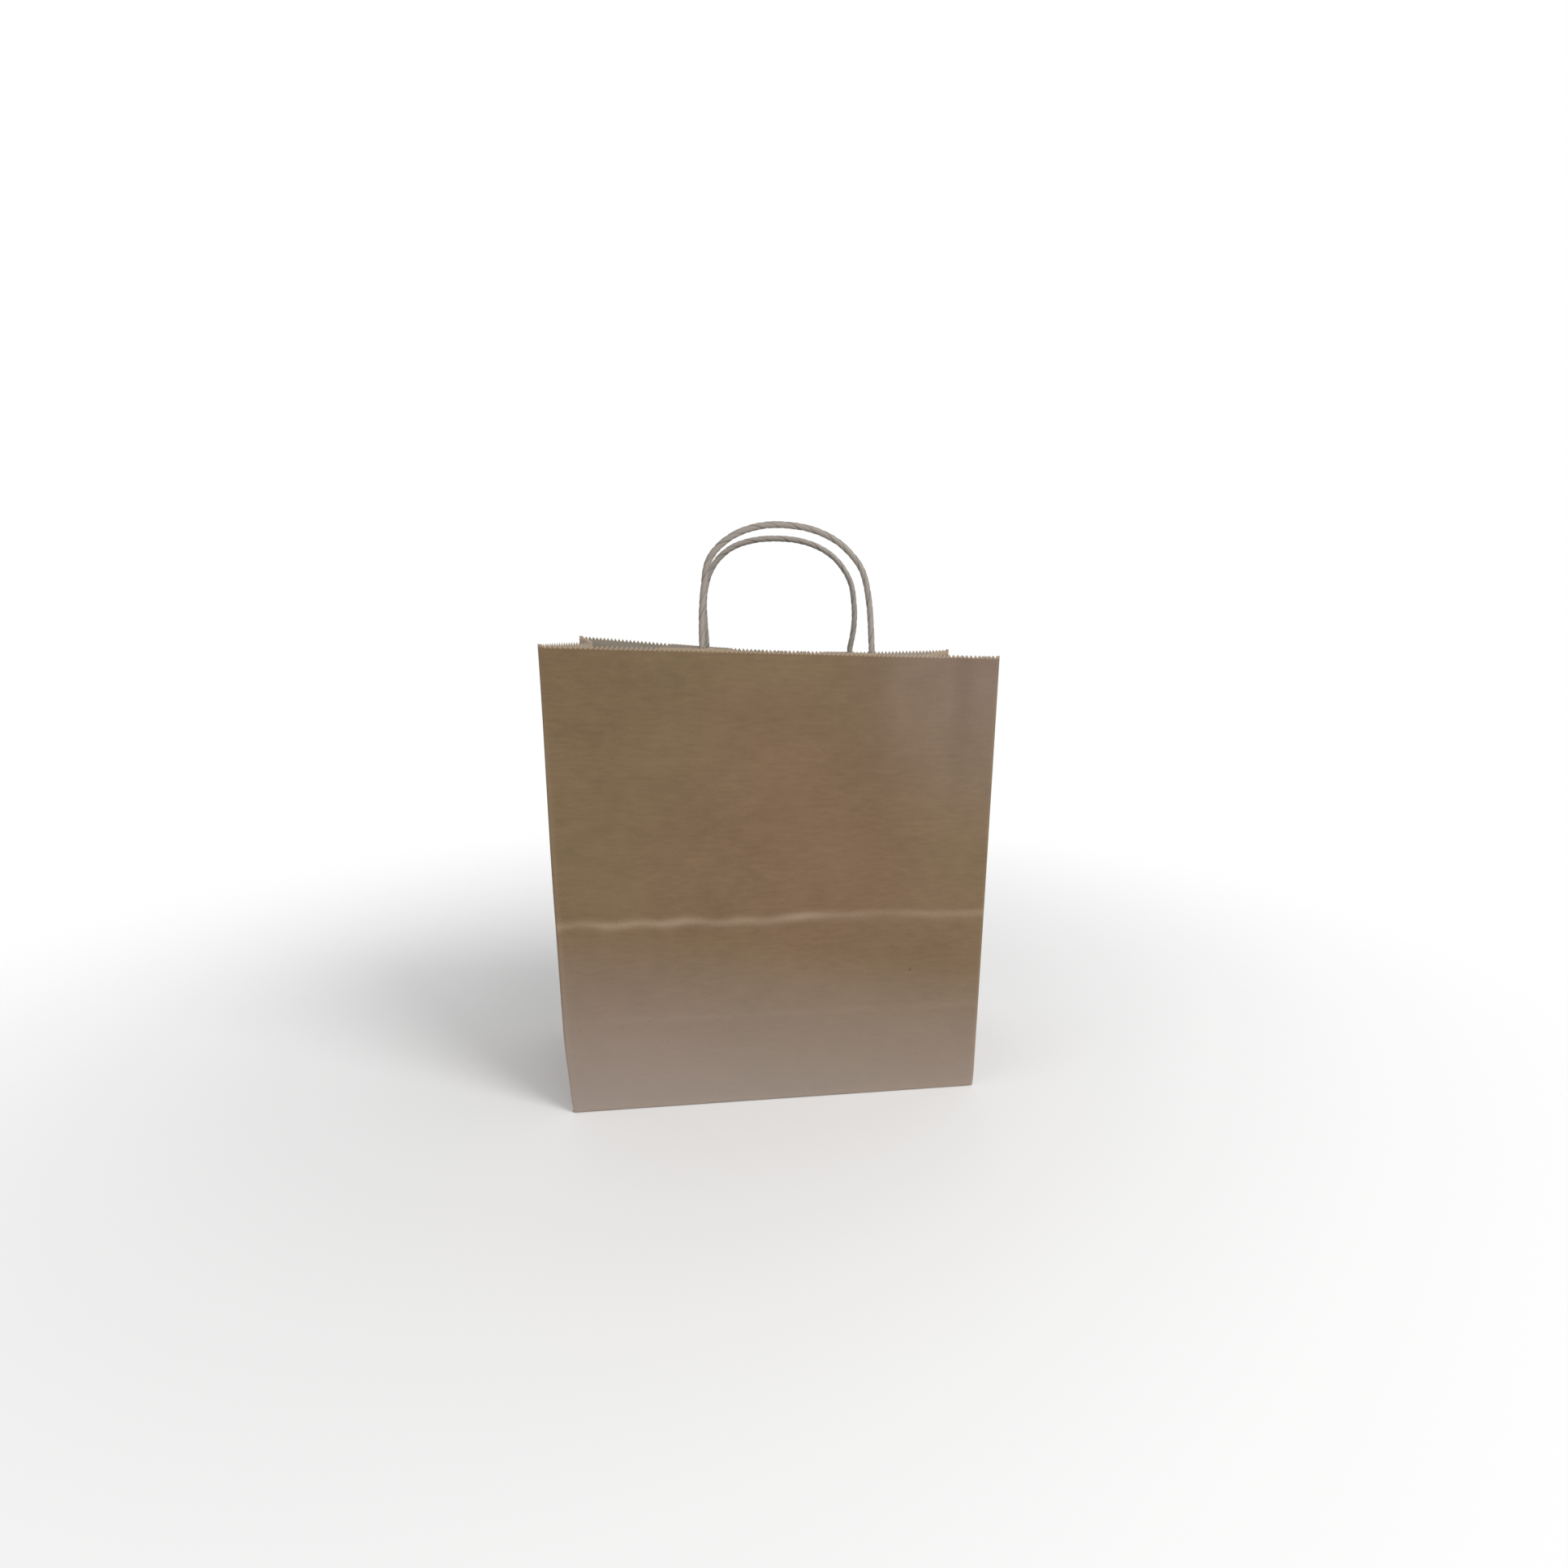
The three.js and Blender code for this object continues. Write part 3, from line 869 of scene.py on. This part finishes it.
def stretched_noise(tree, source, scale, stretch, detail=3.0, rough=0.55):
    mapping = add(tree, "ShaderNodeMapping")
    mapping.inputs["Scale"].default_value = stretch
    tree.links.new(source, mapping.inputs["Vector"])
    noise = add(tree, "ShaderNodeTexNoise")
    noise.inputs["Scale"].default_value = scale
    noise.inputs["Detail"].default_value = detail
    noise.inputs["Roughness"].default_value = rough
    tree.links.new(mapping.outputs["Vector"], noise.inputs["Vector"])
    return noise.outputs["Fac"]


def remap(tree, source, low, high, to_low=0.0, to_high=1.0):
    node = add(tree, "ShaderNodeMapRange")
    for label, value in (("From Min", low), ("From Max", high), ("To Min", to_low), ("To Max", to_high)):
        node.inputs[label].default_value = value
    tree.links.new(source, node.inputs["Value"])
    return node.outputs["Result"]


def feed(tree, socket, value):
    """Links a socket to another, or sets it when the value is plain."""
    if isinstance(value, bpy.types.NodeSocket):
        tree.links.new(value, socket)
    else:
        socket.default_value = value


def mix_colour(tree, factor, first, second, blend="MIX"):
    node = add(tree, "ShaderNodeMix", data_type="RGBA", blend_type=blend)
    for label, value in (("Factor", factor), ("A", first), ("B", second)):
        feed(tree, node.inputs[label], value)
    return node.outputs["Result"]


def maths(tree, operation, first, second):
    node = add(tree, "ShaderNodeMath", operation=operation)
    feed(tree, node.inputs[0], first)
    feed(tree, node.inputs[1], second)
    return node.outputs["Value"]


def distance_from(tree, source, point):
    node = add(tree, "ShaderNodeVectorMath", operation="DISTANCE")
    feed(tree, node.inputs[0], source)
    feed(tree, node.inputs[1], point)
    return node.outputs["Value"]


# %% [markdown]
# The sheet isn't one brown. It drifts from olive to reddish, with a redder patch above the middle of a
# wall. A painted reflection of the pale floor makes it paler and greyer low down, a little more so towards
# the left, and a painted greyish-pink sheen lightens it near the mouth's right end. The inside isn't
# glazed, so it is paler, and painted light makes it palest near the mouth. Each of these is a mask made
# from the place in the flat sheet, in metres.

# %% Paper colours
OLIVE_TINT, RED_TINT = (0.985, 1.0, 0.93, 1), (1.04, 0.94, 0.95, 1)
RED_PATCH = (0.02, 0.185, 0)
# Painted reflection of the pale floor, low on the walls.
FLOOR_REFLECTION_PAINT = (0.34, 0.285, 0.26, 1)
# Painted sheen near the mouth's right end.
PAINTED_SHEEN_SPOT = (0.15, 0.30, 0)
PAINTED_SHEEN = (0.27, 0.208, 0.228, 1)
INSIDE = (0.34, 0.28, 0.22, 1)
# Painted light inside, near the mouth.
PAINTED_MOUTH_LIGHT = (0.62, 0.58, 0.50, 1)
BARK = (0.085, 0.05, 0.03, 1)
FLECK = (0.05, 0.03, 0.02, 1)


# %% Kraft grain group
def kraft_grain():
    tree, entry, leave = new_group(
        "kraft_grain",
        [("Flat", "NodeSocketVector", None), ("Rub", "NodeSocketFloat", 0.0),
         ("Dark", "NodeSocketColor", (0.128, 0.077, 0.033, 1)),
         ("Light", "NodeSocketColor", (0.217, 0.142, 0.073, 1)),
         ("Rubbed", "NodeSocketColor", (0.50, 0.385, 0.28, 1))],
        [("Color", "NodeSocketColor"), ("Roughness", "NodeSocketFloat"),
         ("Height", "NodeSocketFloat")],
    )
    flat = entry.outputs["Flat"]
    long_streaks = stretched_noise(tree, flat, 1.0, (95, 430, 30), detail=5.0, rough=0.62)
    blotches = stretched_noise(tree, flat, 1.0, (60, 95, 30), detail=4.0, rough=0.65)
    short_fibres = stretched_noise(tree, flat, 1.0, (420, 2100, 60), detail=3.0)
    speckle = stretched_noise(tree, flat, 1.0, (1500, 2300, 60), detail=2.0)
    clouds = stretched_noise(tree, flat, 1.0, (11, 16, 9), detail=3.0)
    warmth = stretched_noise(tree, flat, 1.0, (9, 7, 23), detail=2.0)

    tone = 0.0
    for noise, low, high, weight in (
        (long_streaks, 0.3, 0.7, 0.32), (blotches, 0.3, 0.7, 0.2), (short_fibres, 0.3, 0.7, 0.16),
        (speckle, 0.3, 0.7, 0.12), (clouds, 0.32, 0.68, 0.28),
    ):
        tone = maths(tree, "ADD", tone, maths(tree, "MULTIPLY", remap(tree, noise, low, high), weight))
    body = mix_colour(tree, tone, entry.outputs["Dark"], entry.outputs["Light"])

    patch = remap(tree, distance_from(tree, flat, RED_PATCH), 0.02, 0.14, 0.75, 0.0)
    redness = maths(tree, "ADD", remap(tree, warmth, 0.35, 0.65, 0, 0.6), patch)
    tint = mix_colour(tree, redness, OLIVE_TINT, RED_TINT)
    body = mix_colour(tree, 1.0, body, tint, blend="MULTIPLY")

    place = add(tree, "ShaderNodeSeparateXYZ")
    tree.links.new(flat, place.inputs["Vector"])
    along, height, inner = (place.outputs[axis] for axis in "XYZ")
    # Painted reflection: paler and greyer towards the floor, a little more so towards the left.
    floor_reflection_height = maths(tree, "ADD", height, maths(tree, "MULTIPLY", along, 0.13))
    body = mix_colour(tree, remap(tree, floor_reflection_height, 0.115, -0.012, 0.0, 0.70), body, FLOOR_REFLECTION_PAINT)
    # Painted sheen: a greyish-pink highlight near the mouth's right end.
    sheen_share = remap(tree, distance_from(tree, flat, PAINTED_SHEEN_SPOT), 0.02, 0.12, 0.22, 0.0)
    body = mix_colour(tree, sheen_share, body, PAINTED_SHEEN)
    within = remap(tree, inner, 0.2, 0.3)
    body = mix_colour(tree, maths(tree, "MULTIPLY", within, 0.35), body, INSIDE)
    # Painted light: the inside faces are lightened near the mouth.
    lit_mouth_share = maths(tree, "MULTIPLY", within, remap(tree, height, 0.275, 0.302, 0.0, 0.62))
    body = mix_colour(tree, lit_mouth_share, body, PAINTED_MOUTH_LIGHT)

    bark = stretched_noise(tree, flat, 1.0, (520, 900, 130), detail=1.0)
    fleck = remap(tree, bark, 0.745, 0.775, 0.0, 0.55)
    body = mix_colour(tree, fleck, body, BARK)

    broken = remap(tree, short_fibres, 0.25, 0.6, 0.55, 1.0)
    # The rub mix is worn paper on folds and creases, a painted highlight on the mouth's teeth, and painted
    # shade in the cords' grooves.
    worn_or_lit = maths(tree, "MULTIPLY", entry.outputs["Rub"], broken)
    tree.links.new(mix_colour(tree, worn_or_lit, body, entry.outputs["Rubbed"]), leave.inputs["Color"])
    glaze = remap(tree, long_streaks, 0.3, 0.7, 0.44, 0.56)
    rough = maths(tree, "ADD", glaze, maths(tree, "MULTIPLY", worn_or_lit, 0.15))
    tree.links.new(rough, leave.inputs["Roughness"])
    relief = maths(tree, "MULTIPLY", maths(tree, "ADD", long_streaks, short_fibres), 0.5)
    tree.links.new(relief, leave.inputs["Height"])
    return tree


grain = kraft_grain()
print("group:", grain.name)

# %% [markdown]
# The sheet, the strips and the cords are the same kind of paper in different weights. The strips are a
# paler, thinner paper. The cords look paler still, because twisting breaks up the glazed face, and painted
# shade darkens their grooves. A fleck of bark in the pulp shows on the front wall's lower right.

# %% Paper materials
def paper_material(name, relief, speck=None, **colours):
    material = bpy.data.materials.new(name)
    material.use_nodes = True
    tree = material.node_tree
    shader = tree.nodes["Principled BSDF"]
    fibres = add(tree, "ShaderNodeGroup", node_tree=grain)
    flat = add(tree, "ShaderNodeAttribute", attribute_name="flat")
    wear_and_painted_light = add(tree, "ShaderNodeAttribute", attribute_name="wear_and_painted_light")
    tree.links.new(flat.outputs["Vector"], fibres.inputs["Flat"])
    tree.links.new(wear_and_painted_light.outputs["Fac"], fibres.inputs["Rub"])
    for label, colour in colours.items():
        fibres.inputs[label].default_value = (*colour, 1)
    bump_node = add(tree, "ShaderNodeBump")
    bump_node.inputs["Strength"].default_value = 0.5
    bump_node.inputs["Distance"].default_value = relief * MM
    tree.links.new(fibres.outputs["Height"], bump_node.inputs["Height"])
    tree.links.new(bump_node.outputs["Normal"], shader.inputs["Normal"])
    colour = fibres.outputs["Color"]
    if speck:
        place = add(tree, "ShaderNodeTexCoord")
        apart = distance_from(tree, place.outputs["Object"], speck)
        colour = mix_colour(tree, remap(tree, apart, 0.0011, 0.0004, 0.0, 0.75), colour, FLECK)
    tree.links.new(colour, shader.inputs["Base Color"])
    tree.links.new(fibres.outputs["Roughness"], shader.inputs["Roughness"])
    shader.inputs["Specular IOR Level"].default_value = 0.5
    return material


finishes = {
    "kraft_sheet": paper_material("kraft_sheet", 0.12, speck=(0.089, -0.065, 0.094)),
    "handle_strip": paper_material(
        "handle_strip", 0.1,
        Dark=(0.24, 0.165, 0.10), Light=(0.36, 0.265, 0.18), Rubbed=(0.60, 0.48, 0.36)),
    # On the cords the rub colour is dark: it is painted shade in the spiral grooves.
    "handle_cord": paper_material(
        "handle_cord", 0.08,
        Dark=(0.15, 0.151, 0.117), Light=(0.347, 0.358, 0.293), Rubbed=(0.11, 0.108, 0.08)),
}
for slot_name, finish in finishes.items():
    for piece in pieces_of[slot_name]:
        piece.data.materials.append(finish)
    print(slot_name, "on", len(pieces_of[slot_name]), "pieces")

# %% [markdown]
# ## Floor and light
# A pale floor fades out into an even white surround, as on a studio sweep, so
# there is no horizon behind the bag. One large soft lamp stands to the upper
# right in front and a weaker one to the left, so the walls fall off gently and
# the folds still read. A third, low in front, is the one whose sheen shows in
# the dents. The surround lights the bag less than it shows, to keep some shadow
# inside the mouth.

# %% Floor
def floor_material():
    material = bpy.data.materials.new("pale_floor")
    material.use_nodes = True
    shader = material.node_tree.nodes["Principled BSDF"]
    shader.inputs["Base Color"].default_value = (0.93, 0.93, 0.93, 1)
    shader.inputs["Roughness"].default_value = 0.75
    tree = material.node_tree
    place = add(tree, "ShaderNodeTexCoord")
    distance = add(tree, "ShaderNodeVectorMath", operation="LENGTH")
    tree.links.new(place.outputs["Object"], distance.inputs[0])
    fade = remap(tree, distance.outputs["Value"], 0.2, 0.8, 1.0, 0.0)
    fade.node.interpolation_type = "SMOOTHSTEP"
    tree.links.new(fade, shader.inputs["Alpha"])
    return material


FLOOR_REACH, FLOOR_GAP = 8.0, 0.0003
floor_mesh = bpy.data.meshes.new("floor")
corners = [(x * FLOOR_REACH, y * FLOOR_REACH, 0) for x, y in ((-1, -1), (1, -1), (1, 1), (-1, 1))]
floor_mesh.from_pydata(corners, [], [(0, 1, 2, 3)])
floor = bpy.data.objects.new("floor", floor_mesh)
bpy.context.collection.objects.link(floor)
floor.data.materials.append(floor_material())
floor.location.z = -FLOOR_GAP
floor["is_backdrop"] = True

# %% Light
def soft_lamp(name, place, aim, size, power):
    data = bpy.data.lights.new(name, "AREA")
    data.shape = "DISK"
    data.size = size
    data.energy = power
    lamp = bpy.data.objects.new(name, data)
    lamp.location = place
    lamp.rotation_euler = (Vector(aim) - Vector(place)).to_track_quat("-Z", "Y").to_euler()
    bpy.context.collection.objects.link(lamp)


soft_lamp("key", (1.3, -1.3, 1.7), (0, 0, 0.15), 1.0, 29)
soft_lamp("fill", (-1.8, -1.0, 0.9), (0, 0, 0.15), 1.4, 3)
soft_lamp("sheen", (0.75, -2.1, 0.45), (0.08, 0, 0.25), 0.7, 6)

world = bpy.data.worlds.new("surround")
world.use_nodes = True
background = world.node_tree.nodes["Background"]
background.inputs["Color"].default_value = (1, 1, 1, 1)
light_path = add(world.node_tree, "ShaderNodeLightPath")
strength = remap(world.node_tree, light_path.outputs["Is Camera Ray"], 0, 1, 0.56, 1.0)
world.node_tree.links.new(strength, background.inputs["Strength"])
bpy.context.scene.world = world
bpy.context.scene.view_settings.view_transform = "Standard"
print("lights: key, fill, sheen, surround")

# %% [markdown]
# ## Finish
# The box of the shown pieces and the frame's own box are printed at the end.

# %% Sizes and finish
shown_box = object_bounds()
boxes = {"cad": [list(corner) for corner in cad_box], "shown": [list(corner) for corner in shown_box]}
for label, box in boxes.items():
    print(label, "box", [[round(v, 4) for v in corner] for corner in box])
